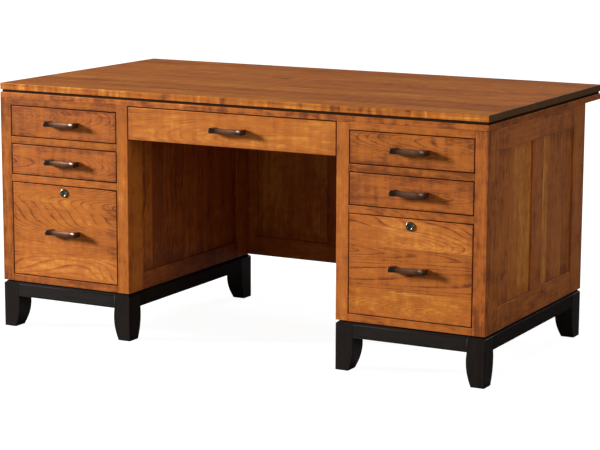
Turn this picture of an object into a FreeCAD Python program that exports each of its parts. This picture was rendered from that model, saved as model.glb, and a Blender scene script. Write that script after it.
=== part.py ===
import FreeCAD, Part
import os

# A double pedestal desk in cherry on two black bases, in millimetres.
# +X is to the right of someone sitting at it, -Y is the front with the drawers, +Z is up.
# The origin lies on the floor, below the middle of the whole outline with the pulls.

# Overall sizes
desk_width = 1676.0
desk_depth = 914.0
pedestal_width = 477.0
back_overhang = 139.0
base_height = 151.0

# Top: a slab, a recessed spacer that shows as a groove, and a lower layer
top_slab_thickness = 20.5
top_groove_height = 8.0
top_groove_depth = 5.0
top_lower_thickness = 17.5

# Face frame and the drawer openings in it, from the top down
face_frame_thickness = 20.0
face_stile_width = 40.0
face_rail_height = 22.0
small_opening_height = 100.0
file_opening_height = 302.0

# Frame-and-panel sides and backs
side_thickness = 20.0
back_thickness = 20.0
side_front_stile_width = 65.0
side_middle_stile_width = 83.0
side_rear_stile_width = 75.0
back_stile_width = 60.0
top_rail_height = 64.0
outer_bottom_rail_height = 72.0
knee_bottom_rail_height = 55.0
panel_thickness = 10.0
panel_recess = 6.0
panel_groove_depth = 8.0
panel_play = 0.3

# Raised panels in the backs and in the modesty panel
raised_tongue_thickness = 6.0
raised_field_height = 5.0
raised_bevel_width = 24.0
modesty_end_stile_width = 35.0
modesty_middle_stile_width = 116.0
modesty_bottom_rail_height = 64.0

# Boards inside each pedestal
bottom_thickness = 18.0
stretcher_width = 80.0
stretcher_thickness = 18.0
spacer_height = 52.0
screw_head_radius = 4.0
screw_shank_radius = 2.0
screw_head_height = 2.5
screw_bite = 10.0
screw_play = 0.3
screw_end_distance = 60.0

# Base under each pedestal
leg_width = 56.0
leg_depth = 66.0
foot_width = 42.0
foot_depth = 50.0
base_rail_height = 50.0
base_rail_thickness = 26.0
base_bevel_inset = 12.0
base_bevel_drop = 10.0
leg_bow = 7.5

# Drawers
drawer_reveal = 3.0
drawer_front_thickness = 20.0
pencil_front_height = 100.0
box_board_thickness = 13.0
box_bottom_thickness = 6.0
box_bottom_lift = 12.0
box_groove_depth = 6.0
box_play = 0.3
box_floor_clearance = 10.0
box_top_clearance = 14.0
file_box_top_clearance = 42.0
pencil_box_height = 66.0
pencil_box_drop = 17.0
pencil_box_length = 500.0
drawer_back_clearance = 85.0

# Telescopic slides, one pair to each drawer, as long as its box less the setback
slide_setback = 4.0
slide_height = 45.0
slide_thickness = 12.7
slide_wall = 1.5
slide_race = 4.2
slide_play = 0.4

# Pulls
pull_length = 114.0
pull_height = 16.0
pull_end_width = 7.0
pull_flank_width = 10.0
pull_end_step = 3.5
pull_post_width = 14.0
pull_projection = 28.0
pull_thickness = 6.0
pull_dip = 1.2

# Cam locks of the file drawers
lock_drop = 21.0
lock_flange_radius = 14.0
lock_flange_thickness = 4.0
lock_body_radius = 9.0
lock_plug_radius = 7.0
lock_hole_play = 0.3
lock_running_play = 0.05
keyway_width = 1.8
keyway_height = 8.0
keyway_depth = 6.0
cam_reach = 36.0
cam_width = 12.0
cam_thickness = 3.0
cam_clearance = 0.5

# Places worked out from the sizes above
front_y = (pull_projection - desk_depth) / 2
back_y = front_y + desk_depth
case_back_y = back_y - back_overhang
inside_front_y = front_y + face_frame_thickness
inside_back_y = case_back_y - back_thickness
case_height = 4 * face_rail_height + 2 * small_opening_height + file_opening_height
case_bottom_z = base_height
case_top_z = case_bottom_z + case_height
knee_half_width = desk_width / 2 - pedestal_width
opening_width = pedestal_width - 2 * face_stile_width
spacer_thickness = face_stile_width - side_thickness
pedestal_centre_x = desk_width / 2 - pedestal_width / 2
box_front_y = front_y + drawer_front_thickness
cam_y = max(box_front_y, inside_front_y) + cam_clearance


def board(x_span, y_span, z_span):
    """A squared board between two places along each axis."""
    low = FreeCAD.Vector(min(x_span), min(y_span), min(z_span))
    sides = [max(span) - min(span) for span in (x_span, y_span, z_span)]
    return Part.makeBox(*sides, low)


def save(name, solids):
    """Writes the solids of one piece, or of one group of like pieces, to the file of its name."""
    shape = solids[0] if len(solids) == 1 else Part.makeCompound(solids)
    shape.exportStep("parts/" + name + ".step")


def prism(points, direction):
    """A flat outline of straight edges carried along a direction."""
    corners = [FreeCAD.Vector(*point) for point in points]
    face = Part.Face(Part.makePolygon(corners + corners[:1]))
    return face.extrude(FreeCAD.Vector(*direction))


def frame_with_panels(along, z_span, depth_span, stiles, rails, make_panel):
    """A frame with its panels, standing on edge.

    along is "x" or "y", the way that the rails run. stiles holds each stile's two ends along it, rails the
    heights of the bottom and top rail. Each panel stands in grooves cut in the members around it.
    """
    def place(run_span, deep_span, up_span):
        if along == "x":
            return board(run_span, deep_span, up_span)
        return board(deep_span, run_span, up_span)

    low_z, high_z = z_span
    rail_low_top = low_z + rails[0]
    rail_high_bottom = high_z - rails[1]
    members = [place(stiles[0], depth_span, z_span), place(stiles[-1], depth_span, z_span)]
    rail_span = (stiles[0][1], stiles[-1][0])
    members.append(place(rail_span, depth_span, (low_z, rail_low_top)))
    members.append(place(rail_span, depth_span, (rail_high_bottom, high_z)))
    for middle in stiles[1:-1]:
        members.append(place(middle, depth_span, (rail_low_top, rail_high_bottom)))
    panels = []
    for left, right in zip(stiles, stiles[1:]):
        opening = (left[1], right[0])
        panel, groove = make_panel(place, opening, (rail_low_top, rail_high_bottom), depth_span)
        panels.append(panel)
        members = [member.cut(groove) for member in members]
    return members, panels


def grown(span, by):
    return (span[0] - by, span[1] + by)


def flat_panel_from(outer_at_low_side):
    """The maker of a flat panel whose show face is set back from the frame's outer face."""
    def make(place, run_span, up_span, depth_span):
        if outer_at_low_side:
            near = depth_span[0] + panel_recess
            deep = (near, near + panel_thickness)
        else:
            near = depth_span[1] - panel_recess
            deep = (near - panel_thickness, near)
        reach = panel_groove_depth - panel_play
        panel = place(grown(run_span, reach), deep, grown(up_span, reach))
        groove = place(grown(run_span, panel_groove_depth), deep, grown(up_span, panel_groove_depth))
        return panel, groove
    return make


def raised_panel(place, run_span, up_span, depth_span):
    """A panel with a bevel round a raised field on both faces, and a thin tongue in the frame's groove."""
    middle = (depth_span[0] + depth_span[1]) / 2
    tongue = (middle - raised_tongue_thickness / 2, middle + raised_tongue_thickness / 2)
    reach = panel_groove_depth - panel_play
    solid = place(grown(run_span, reach), tongue, grown(up_span, reach))
    groove = place(grown(run_span, panel_groove_depth), tongue, grown(up_span, panel_groove_depth))
    for face_at, outwards in ((tongue[0], -1), (tongue[1], 1)):
        rings = []
        for inset, lift in ((0, 0), (raised_bevel_width, raised_field_height)):
            x_low, x_high = grown(run_span, -inset)
            z_low, z_high = grown(up_span, -inset)
            y = face_at + outwards * lift
            corners = [(x_low, y, z_low), (x_high, y, z_low), (x_high, y, z_high), (x_low, y, z_high)]
            vectors = [FreeCAD.Vector(*corner) for corner in corners]
            rings.append(Part.makePolygon(vectors + vectors[:1]))
        solid = solid.fuse(Part.makeLoft(rings, True, True))
    return solid.removeSplitter(), groove


def make_top():
    low = case_top_z
    groove_low = low + top_lower_thickness
    groove_high = groove_low + top_groove_height
    full_x = (-desk_width / 2, desk_width / 2)
    full_y = (front_y, back_y)
    inset_x = grown(full_x, -top_groove_depth)
    inset_y = grown(full_y, -top_groove_depth)
    lower = board(full_x, full_y, (low, groove_low))
    for screw in top_screws(screw_play):
        lower = lower.cut(screw)
    save("top_lower_layer", [lower])
    save("top_groove_spacer", [board(inset_x, inset_y, (groove_low, groove_high))])
    save("top_slab", [board(full_x, full_y, (groove_high, groove_high + top_slab_thickness))])
    save("top_screws", top_screws(0.0))


def stretcher_spans():
    """The front and the rear stretcher of a pedestal, as their places along Y."""
    front = (inside_front_y, inside_front_y + stretcher_width)
    rear = (inside_back_y - stretcher_width, inside_back_y)
    return (front, rear)


def top_screws(play):
    """Screws up through the stretchers into the top's lower layer, grown by the play of their holes."""
    under = case_top_z - stretcher_thickness
    shank_length = stretcher_thickness + screw_bite
    screws = []
    for side in (-1, 1):
        for span in stretcher_spans():
            for end in (-1, 1):
                reach = pedestal_width / 2 - side_thickness - screw_end_distance
                x = side * pedestal_centre_x + end * reach
                y = sum(span) / 2
                head_at = FreeCAD.Vector(x, y, under - screw_head_height)
                shank_at = FreeCAD.Vector(x, y, under)
                head = Part.makeCylinder(screw_head_radius, screw_head_height, head_at)
                shank = Part.makeCylinder(screw_shank_radius + play, shank_length + play, shank_at)
                screws.append(head.fuse(shank))
    return screws


def make_face_frame(name, x_low, x_high):
    deep = (front_y, inside_front_y)
    solids = []
    for edge, inwards in ((x_low, 1), (x_high, -1)):
        solids.append(board((edge, edge + inwards * face_stile_width), deep, (case_bottom_z, case_top_z)))
    rail_x = (x_low + face_stile_width, x_high - face_stile_width)
    z = case_top_z
    for opening in (small_opening_height, small_opening_height, file_opening_height, 0.0):
        solids.append(board(rail_x, deep, (z - face_rail_height, z)))
        z -= face_rail_height + opening
    save(name + "_face_frame", solids)


def make_pedestal_case(name, side):
    """Sides, back, bottom, stretchers and slide spacers of one pedestal. side is -1 left, 1 right."""
    outer_x = side * desk_width / 2
    knee_x = side * knee_half_width
    x_low, x_high = sorted((outer_x, knee_x))
    case_z = (case_bottom_z, case_top_z)
    front_stile = (inside_front_y, inside_front_y + side_front_stile_width)
    rear_stile = (inside_back_y - side_rear_stile_width, inside_back_y)
    middle = (front_stile[1] + rear_stile[0]) / 2
    middle_stile = (middle - side_middle_stile_width / 2, middle + side_middle_stile_width / 2)
    back_stiles = ((x_low, x_low + back_stile_width), (x_high - back_stile_width, x_high))

    make_face_frame(name, x_low, x_high)
    outer_span = sorted((outer_x, outer_x - side * side_thickness))
    knee_span = sorted((knee_x, knee_x + side * side_thickness))
    outer_rails = (outer_bottom_rail_height, top_rail_height)
    knee_rails = (knee_bottom_rail_height, top_rail_height)
    outer_stiles = (front_stile, middle_stile, rear_stile)
    knee_stiles = (front_stile, rear_stile)
    back_span = (inside_back_y, case_back_y)
    members, panels = [], []
    for made in (
        frame_with_panels("y", case_z, outer_span, outer_stiles, outer_rails, flat_panel_from(side < 0)),
        frame_with_panels("y", case_z, knee_span, knee_stiles, knee_rails, flat_panel_from(side > 0)),
        frame_with_panels("x", case_z, back_span, back_stiles, outer_rails, raised_panel),
    ):
        members += made[0]
        panels += made[1]
    save(name + "_pedestal_frames", members)
    save(name + "_pedestal_panels", panels)

    inside_x = (x_low + side_thickness, x_high - side_thickness)
    inside_y = (inside_front_y, inside_back_y)
    carcass = [board(inside_x, inside_y, (case_bottom_z, case_bottom_z + bottom_thickness))]
    for span in stretcher_spans():
        stretcher = board(inside_x, span, (case_top_z - stretcher_thickness, case_top_z))
        for screw in top_screws(screw_play):
            stretcher = stretcher.cut(screw)
        carcass.append(stretcher)
    for drawer in pedestal_drawers(name, side):
        z_span = (drawer["slide_z"] - spacer_height / 2, drawer["slide_z"] + spacer_height / 2)
        for edge, inwards in ((inside_x[0], 1), (inside_x[1], -1)):
            carcass.append(board((edge, edge + inwards * spacer_thickness), inside_y, z_span))
    save(name + "_carcass_boards", carcass)


def make_modesty_panel():
    """The screen at the back of the knee-hole, in line with the pedestals' backs."""
    half = knee_half_width
    half_middle = modesty_middle_stile_width / 2
    stiles = (
        (-half, modesty_end_stile_width - half),
        (-half_middle, half_middle),
        (half - modesty_end_stile_width, half),
    )
    rails = (modesty_bottom_rail_height, top_rail_height)
    case_z = (case_bottom_z, case_top_z)
    back_span = (inside_back_y, case_back_y)
    members, panels = frame_with_panels("x", case_z, back_span, stiles, rails, raised_panel)
    save("modesty_frame", members)
    save("modesty_panels", panels)


def leg_outline(top, foot, to_inside, cross):
    """One elevation of a leg: a straight outer edge with a bevel above, an inner edge bowed in to the foot.

    top and foot are the leg's sizes at its two ends. to_inside maps a distance from the outer edge and a
    height to a point, cross is the way that the outline is carried.
    """
    rail_z = base_height - base_rail_height
    half_way = (top + foot) / 2 + leg_bow
    corners = [(foot, 0), (0, 0), (0, base_height - base_bevel_drop), (base_bevel_inset, base_height)]
    corners += [(top, base_height), (top, rail_z)]
    points = [FreeCAD.Vector(*to_inside(*corner)) for corner in corners]
    edges = [Part.makeLine(first, second) for first, second in zip(points, points[1:])]
    bow_middle = FreeCAD.Vector(*to_inside(half_way, rail_z / 2))
    edges.append(Part.Arc(points[-1], bow_middle, points[0]).toShape())
    return Part.Face(Part.Wire(edges)).extrude(FreeCAD.Vector(*cross))


def make_leg(corner_x, corner_y, into_x, into_y):
    """A leg at an outer corner of the base. Both inner faces bow in and taper to the foot."""
    past = max(leg_width, leg_depth) + leg_bow

    def from_front(d, z):
        return (corner_x + into_x * d, corner_y, z)

    def from_side(d, z):
        return (corner_x, corner_y + into_y * d, z)

    front = leg_outline(leg_width, foot_width, from_front, (0, into_y * past, 0))
    side = leg_outline(leg_depth, foot_depth, from_side, (into_x * past, 0, 0))
    return front.common(side)


def bevelled_rail(to_inside, along):
    """A base rail with its outer top edge bevelled. along is the way it runs, with its length."""
    low = base_height - base_rail_height
    corners = [(0, low), (0, base_height - base_bevel_drop), (base_bevel_inset, base_height)]
    corners += [(base_rail_thickness, base_height), (base_rail_thickness, low)]
    return prism([to_inside(*corner) for corner in corners], along)


def make_base(name, side):
    x_low, x_high = sorted((side * desk_width / 2, side * knee_half_width))
    legs, rails = [], []
    for corner_x, into_x in ((x_low, 1), (x_high, -1)):
        for corner_y, into_y in ((front_y, 1), (case_back_y, -1)):
            legs.append(make_leg(corner_x, corner_y, into_x, into_y))
    run_x = x_high - x_low - 2 * leg_width
    run_y = case_back_y - front_y - 2 * leg_depth
    start_x = x_low + leg_width
    start_y = front_y + leg_depth
    for edge, into in ((front_y, 1), (case_back_y, -1)):
        rails.append(bevelled_rail(lambda d, z: (start_x, edge + into * d, z), (run_x, 0, 0)))
    for edge, into in ((x_low, 1), (x_high, -1)):
        rails.append(bevelled_rail(lambda d, z: (edge + into * d, start_y, z), (0, run_y, 0)))
    save(name + "_base_legs", legs)
    save(name + "_base_rails", rails)


def pedestal_drawers(name, side):
    """The three drawers of a pedestal from the top down, each with the spans of its front and box."""
    centre = side * pedestal_centre_x
    drawers = []
    z = case_top_z
    heights = {"top": small_opening_height, "second": small_opening_height, "file": file_opening_height}
    for kind, height in heights.items():
        high = z - face_rail_height
        low = high - height
        z = low
        top_clearance = file_box_top_clearance if kind == "file" else box_top_clearance
        box_z = (low + box_floor_clearance, high - top_clearance)
        drawers.append({
            "name": name + "_" + kind,
            "centre": centre,
            "half_opening": opening_width / 2,
            "front_z": (low + drawer_reveal, high - drawer_reveal),
            "box_z": box_z,
            "slide_z": sum(box_z) / 2,
            "box_y": (box_front_y, inside_back_y - drawer_back_clearance),
            "locked": kind == "file",
            "cam_way": -side,
        })
    return drawers


def pencil_drawer():
    """The shallow drawer between the pedestals, right under the top."""
    front_high = case_top_z - drawer_reveal
    box_high = front_high - pencil_box_drop
    box_z = (box_high - pencil_box_height, box_high)
    return {
        "name": "pencil",
        "centre": 0.0,
        "half_opening": knee_half_width,
        "front_z": (front_high - pencil_front_height, front_high),
        "box_z": box_z,
        "slide_z": sum(box_z) / 2,
        "box_y": (box_front_y, box_front_y + pencil_box_length),
        "locked": False,
    }


def lock_centre(drawer):
    return FreeCAD.Vector(drawer["centre"], front_y, drawer["front_z"][1] - lock_drop)


def make_drawer_front(drawer):
    half = drawer["half_opening"] - drawer_reveal
    x_span = (drawer["centre"] - half, drawer["centre"] + half)
    front = board(x_span, (front_y, box_front_y), drawer["front_z"])
    if drawer["locked"]:
        radius = lock_body_radius + lock_hole_play
        backwards = FreeCAD.Vector(0, 1, 0)
        hole = Part.makeCylinder(radius, drawer_front_thickness, lock_centre(drawer), backwards)
        front = front.cut(hole)
    save(drawer["name"] + "_drawer_front", [front])


def make_drawer_box(drawer):
    """Two sides, an inner front and a back, with the bottom held in a groove round all four."""
    half = drawer["half_opening"] - slide_thickness
    x_low, x_high = drawer["centre"] - half, drawer["centre"] + half
    y_low, y_high = drawer["box_y"]
    wall = box_board_thickness
    inside_x = (x_low + wall, x_high - wall)
    inside_y = (y_low + wall, y_high - wall)
    bottom_low = drawer["box_z"][0] + box_bottom_lift
    bottom_z = (bottom_low, bottom_low + box_bottom_thickness)
    groove = board(grown(inside_x, box_groove_depth), grown(inside_y, box_groove_depth), bottom_z)
    reach = box_groove_depth - box_play
    walls = [
        board((x_low, inside_x[0]), (y_low, y_high), drawer["box_z"]),
        board((inside_x[1], x_high), (y_low, y_high), drawer["box_z"]),
        board(inside_x, (y_low, inside_y[0]), drawer["box_z"]),
        board(inside_x, (inside_y[1], y_high), drawer["box_z"]),
    ]
    walls = [panel.cut(groove) for panel in walls]
    walls.append(board(grown(inside_x, reach), grown(inside_y, reach), bottom_z))
    save(drawer["name"] + "_drawer_box", walls)


def make_pull(drawer):
    """A strap between two square ends, cast in one piece and seated on the front's face.

    A sloping flank leads from the face of each end to the strap, which dips a little in the middle.
    """
    half = pull_length / 2
    flank_start = half - pull_end_width
    strap_end = flank_start - pull_flank_width
    post_inside = half - pull_post_width
    strap_reach = pull_projection - pull_end_step
    gap_reach = strap_reach - pull_thickness
    low = sum(drawer["front_z"]) / 2 - pull_height / 2

    def at(x, out):
        return FreeCAD.Vector(drawer["centre"] + x, front_y - out, low)

    def dipped(end, reach):
        return Part.Arc(at(-end, reach), at(0, reach - pull_dip), at(end, reach)).toShape()

    edges = [dipped(strap_end, strap_reach), dipped(post_inside, gap_reach)]
    end_outline = [
        (strap_end, strap_reach), (flank_start, pull_projection), (half, pull_projection),
        (half, 0), (post_inside, 0), (post_inside, gap_reach),
    ]
    for way in (-1, 1):
        corners = [at(way * x, out) for x, out in end_outline]
        edges += [Part.makeLine(first, second) for first, second in zip(corners, corners[1:])]
    outline = Part.Face(Part.Wire(Part.__sortEdges__(edges)))
    save(drawer["name"] + "_drawer_pull", [outline.extrude(FreeCAD.Vector(0, 0, pull_height))])


def channel(wall_x, lip_x, half_height, web, lip):
    """Corners of a channel's section: a web at wall_x, with a lip towards lip_x along its top and bottom."""
    way = 1 if lip_x > wall_x else -1
    web_x = wall_x + way * web
    inner = half_height - lip
    return [
        (wall_x, -half_height), (lip_x, -half_height), (lip_x, -inner), (web_x, -inner),
        (web_x, inner), (lip_x, inner), (lip_x, half_height), (wall_x, half_height),
    ]


def slide_sections():
    """Sections of the three nested members, measured from the cabinet's wall towards the drawer."""
    middle_wall = slide_wall + slide_play
    middle_half = slide_height / 2 - slide_wall - slide_play
    inner_wall = middle_wall + slide_wall + slide_play
    inner_half = middle_half - slide_race - slide_play
    lip_end = slide_thickness - slide_wall - slide_play
    cabinet = channel(0.0, lip_end, slide_height / 2, slide_wall, slide_wall)
    middle = channel(middle_wall, lip_end, middle_half, slide_wall, slide_race)
    inner = channel(slide_thickness, inner_wall, inner_half, slide_wall, slide_wall)
    return {"cabinet": cabinet, "middle": middle, "drawer": inner}


def slide_pair(drawer, section):
    """The left and right member of one section, along the two sides of a drawer."""
    start = drawer["box_y"][0] + slide_setback
    length = drawer["box_y"][1] - start
    pair = []
    for way in (-1, 1):
        wall_x = drawer["centre"] + way * drawer["half_opening"]
        corners = [(wall_x - way * x, start, drawer["slide_z"] + z) for x, z in section]
        pair.append(prism(corners, (0, length, 0)))
    return pair


def make_lock(drawer):
    """A flanged housing in the front, and a keyed plug that carries the cam behind it.

    The cam lies level towards the knee-hole, and turns up behind the rail above to lock the drawer.
    """
    centre = lock_centre(drawer)
    backwards = FreeCAD.Vector(0, 1, 0)
    face = centre - backwards * lock_flange_thickness
    body_length = lock_flange_thickness + drawer_front_thickness
    flange = Part.makeCylinder(lock_flange_radius, lock_flange_thickness, face, backwards)
    body = Part.makeCylinder(lock_body_radius, body_length, face, backwards)
    bore = Part.makeCylinder(lock_plug_radius + lock_running_play, body_length, face, backwards)
    save(drawer["name"] + "_lock_housing", [flange.fuse(body).cut(bore).removeSplitter()])

    plug = Part.makeCylinder(lock_plug_radius, cam_y - face.y, face, backwards)
    half_width, half_height = keyway_width / 2, keyway_height / 2
    keyway = board(
        (centre.x - half_width, centre.x + half_width),
        (face.y, face.y + keyway_depth),
        (centre.z - half_height, centre.z + half_height),
    )
    half_cam = cam_width / 2
    cam = board(
        (centre.x - drawer["cam_way"] * half_cam, centre.x + drawer["cam_way"] * cam_reach),
        (cam_y, cam_y + cam_thickness),
        (centre.z - half_cam, centre.z + half_cam),
    )
    save(drawer["name"] + "_lock_plug", [plug.cut(keyway).fuse(cam)])


def make_drawers(drawers):
    sections = slide_sections()
    cabinet_members = []
    for drawer in drawers:
        make_drawer_front(drawer)
        make_drawer_box(drawer)
        make_pull(drawer)
        save(drawer["name"] + "_drawer_slides", slide_pair(drawer, sections["drawer"]))
        save(drawer["name"] + "_middle_slides", slide_pair(drawer, sections["middle"]))
        cabinet_members += slide_pair(drawer, sections["cabinet"])
        if drawer["locked"]:
            make_lock(drawer)
    save("cabinet_slides", cabinet_members)


os.makedirs("parts", exist_ok=True)
make_top()
make_modesty_panel()
pedestals = (("left", -1), ("right", 1))
all_drawers = [pencil_drawer()]
for pedestal_name, pedestal_side in pedestals:
    make_pedestal_case(pedestal_name, pedestal_side)
    make_base(pedestal_name, pedestal_side)
    all_drawers += pedestal_drawers(pedestal_name, pedestal_side)
make_drawers(all_drawers)
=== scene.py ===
import math

import bpy
import numpy as np
from mathutils import Matrix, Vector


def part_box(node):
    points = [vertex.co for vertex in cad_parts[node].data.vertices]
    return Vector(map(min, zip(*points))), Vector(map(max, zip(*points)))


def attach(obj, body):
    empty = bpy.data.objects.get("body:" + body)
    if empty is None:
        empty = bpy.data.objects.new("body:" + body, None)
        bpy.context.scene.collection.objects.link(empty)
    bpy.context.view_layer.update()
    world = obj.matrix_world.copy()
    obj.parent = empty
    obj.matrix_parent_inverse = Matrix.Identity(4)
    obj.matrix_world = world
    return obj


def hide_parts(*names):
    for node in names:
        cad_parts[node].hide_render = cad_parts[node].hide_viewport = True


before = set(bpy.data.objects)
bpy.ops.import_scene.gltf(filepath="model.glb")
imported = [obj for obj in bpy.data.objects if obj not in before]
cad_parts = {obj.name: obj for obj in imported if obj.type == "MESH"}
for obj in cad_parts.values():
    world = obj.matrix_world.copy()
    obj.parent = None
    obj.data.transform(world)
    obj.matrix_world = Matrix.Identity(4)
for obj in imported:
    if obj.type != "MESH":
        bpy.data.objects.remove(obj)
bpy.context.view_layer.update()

# Bases. Each pedestal stands on a base of black-stained hardwood: four stout legs whose inner faces
# bow in to the foot, with four rails tenoned between them. One bevel runs round the top, so that the
# case above seems to float on a notch.

SIDES = ("left", "right")
CASE = "desk_case"
CORNER_STEPS = 3
LEG_STEPS = 17
PLAIN_TONE = 0.5
leg_size = np.array((0.056, 0.066))
foot_size = np.array((0.042, 0.050))
leg_bow = 0.0075
base_rail_height = 0.050
base_rail_thickness = 0.026
base_bevel_inset = 0.012
base_bevel_drop = 0.010
base_ease = 0.0016
# Shares of a corner's radius: the least that a drawn-in row keeps, and a plank's over its ease.
least_rounding = 0.1
spare_rounding = 1.15
chance = np.random.default_rng(seed=1676)


def corners_of(node):
    """Lowest and highest corner of a node, as two arrays."""
    low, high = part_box(node)
    return np.array(low), np.array(high)


def rounded_ring(half_a, half_b, radius):
    """Rows of points round rectangles of the given half sizes: a quarter circle at each corner in turn."""
    quarter = np.repeat(np.arange(4), CORNER_STEPS + 1)
    angle = (quarter + np.tile(np.linspace(0, 1, CORNER_STEPS + 1), 4)) * math.pi / 2
    side_a = np.where(quarter % 3 == 0, 1, -1)
    side_b = np.where(quarter < 2, 1, -1)
    half_a, half_b, radius = (np.asarray(size, float).reshape(-1, 1) for size in (half_a, half_b, radius))
    a = side_a * (half_a - radius) + radius * np.cos(angle)
    b = side_b * (half_b - radius) + radius * np.sin(angle)
    return np.stack([a, b], 2)


def swept(outline, insets, heights, radius):
    """Rows of points from a counter-clockwise outline that is carried up through the heights.

    Each row is the outline drawn in by the row's inset. A corner moves in along the sum of its two edges'
    normals, and an arc between these normals, of the radius less the inset, rounds it.
    """
    corners = np.array(outline, float)
    edges = np.roll(corners, -1, 0) - corners
    edges /= np.linalg.norm(edges, axis=1, keepdims=True)
    after = np.stack([edges[:, 1], -edges[:, 0]], 1)
    before = np.roll(after, 1, 0)
    turn = (before * after).sum(1)
    spread = (before + after) / (1 + turn)[:, None]
    angle = np.arctan2(before[:, 1], before[:, 0])[:, None]
    angle = angle + np.arccos(np.clip(turn, -1, 1))[:, None] * np.linspace(0, 1, CORNER_STEPS + 1)
    way = np.stack([np.cos(angle), np.sin(angle)], 2)
    drawn = np.asarray(insets, float)[:, None, None, None]
    rounding = np.maximum(radius - drawn, radius * least_rounding)
    flat = corners[:, None] - (drawn + rounding) * spread[:, None] + rounding * way
    flat = flat.reshape(len(heights), -1, 2)
    up = np.broadcast_to(np.asarray(heights, float)[:, None, None], flat.shape[:2] + (1,))
    return np.concatenate([flat, up], 2)


def turned_to(rows, axes):
    """Rows whose three coordinates are put on the axes with these numbers."""
    placed = np.empty_like(rows)
    placed[..., axes] = rows
    return placed


def arc_columns(corner_count):
    """True for the columns of a ring that lie on its rounded corners."""
    return np.tile(np.arange(CORNER_STEPS + 1) < CORNER_STEPS, corner_count)


def inside_arcs(steps):
    """1 at the points that lie between two rounded steps, 0 at the others."""
    steps = np.asarray(steps, float)
    return steps * np.roll(steps, 1)


def board(rows, grain, round_rows, round_columns, tone=PLAIN_TONE, ease=0.002, ring=False):
    """One board over rows of points, with the numbers that its finish reads at each point.

    Four-sided faces join each row to the next, and a flat cap closes each end, or on a ring the last row
    joins the first. Faces on a rounded row or column are shaded smooth. grain holds the distances from the
    board's middle along its fibres, across them and through it, and half the sizes of the board that way.
    make holds a number for the board, 1 on the ends of its fibres, 1 on its rounded edges, and its tone.
    """
    count, around = rows.shape[:2]
    points = rows.reshape(-1, 3)
    index = np.arange(count * around).reshape(count, around)
    lower = index if ring else index[:-1]
    upper = np.roll(index, -1, 0) if ring else index[1:]
    quads = np.stack([lower, np.roll(lower, -1, 1), np.roll(upper, -1, 1), upper], 2).reshape(-1, 4)
    caps = [] if ring else [index[0, ::-1], index[-1]]
    corners = points[quads] - points.mean(0)
    area = np.cross(corners[:, 2] - corners[:, 0], corners[:, 3] - corners[:, 1])
    volume = (corners.mean(1) * area).sum()
    for cap in caps:
        outline = points[cap] - points.mean(0)
        volume += (outline.mean(0) * np.cross(outline, np.roll(outline, -1, 0)).sum(0)).sum()
    if volume < 0:
        quads = quads[:, ::-1]
        caps = [cap[::-1] for cap in caps]
    round_rows = np.asarray(round_rows, bool)
    round_columns = np.asarray(round_columns, bool)
    low, high = points.min(0), points.max(0)
    size = high - low
    others = sorted((axis for axis in range(3) if axis != grain), key=lambda axis: -size[axis])
    local = (points - (low + high) / 2)[:, [grain, *others]]
    end = np.clip((np.abs(local[:, 0]) - size[grain] / 2) / ease + 1, 0, 1)
    steps = round_rows if ring else np.append(round_rows, False)
    edge = np.maximum(inside_arcs(steps)[:, None], inside_arcs(round_columns))
    make = [np.full(len(points), chance.random()), end, edge.ravel(), np.full(len(points), tone)]
    half = np.broadcast_to(size[[grain, *others]] / 2, local.shape)
    return {
        "points": points,
        "quads": quads,
        "caps": caps,
        "smooth": (round_rows[:, None] | round_columns).ravel(),
        "grain": local,
        "half": half,
        "make": np.stack(make, 1),
    }


def plank(low, high, grain, tone=PLAIN_TONE, ease=0.0012):
    """A squared board between two corners: its section, with eased corners, carried along its fibres.

    The first and last rows follow a quarter circle, so that the ends are eased as well.
    """
    axes = [(grain + 1) % 3, (grain + 2) % 3, grain]
    a_low, b_low, start = np.asarray(low, float)[axes]
    a_high, b_high, stop = np.asarray(high, float)[axes]
    outline = [(a_low, b_low), (a_high, b_low), (a_high, b_high), (a_low, b_high)]
    turn = np.linspace(0, math.pi / 2, CORNER_STEPS + 1)
    rise = ease * (1 - np.cos(turn))
    draw = ease * (1 - np.sin(turn))
    heights = np.append(start + rise, stop - draw)
    rows = swept(outline, np.append(draw, rise), heights, ease * spare_rounding)
    round_rows = [True] * CORNER_STEPS + [False] + [True] * CORNER_STEPS
    return board(turned_to(rows, axes), grain, round_rows, arc_columns(4), tone, ease)


def fit(name, boards, finish, body, node):
    """Joins boards into one piece, gives it its finish and hangs it on its body in place of its node."""
    starts = np.cumsum([0] + [len(made["points"]) for made in boards])
    faces = np.concatenate([made["quads"] + start for made, start in zip(boards, starts)]).tolist()
    smooth = np.concatenate([made["smooth"] for made in boards])
    caps = [(cap + start).tolist() for made, start in zip(boards, starts) for cap in made["caps"]]
    mesh = bpy.data.meshes.new(name)
    mesh.from_pydata(np.concatenate([made["points"] for made in boards]).tolist(), [], faces + caps)
    mesh.polygons.foreach_set("use_smooth", np.append(smooth, np.zeros(len(caps), bool)))
    for key in ("grain", "half"):
        values = np.concatenate([made[key] for made in boards])
        mesh.attributes.new(key, "FLOAT_VECTOR", "POINT").data.foreach_set("vector", values.ravel())
    make = np.concatenate([made["make"] for made in boards])
    mesh.attributes.new("make", "FLOAT_COLOR", "POINT").data.foreach_set("color", make.ravel())
    mesh.materials.append(finish)
    piece = bpy.data.objects.new(name, mesh)
    bpy.context.scene.collection.objects.link(piece)
    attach(piece, body)
    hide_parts(node)


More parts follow.
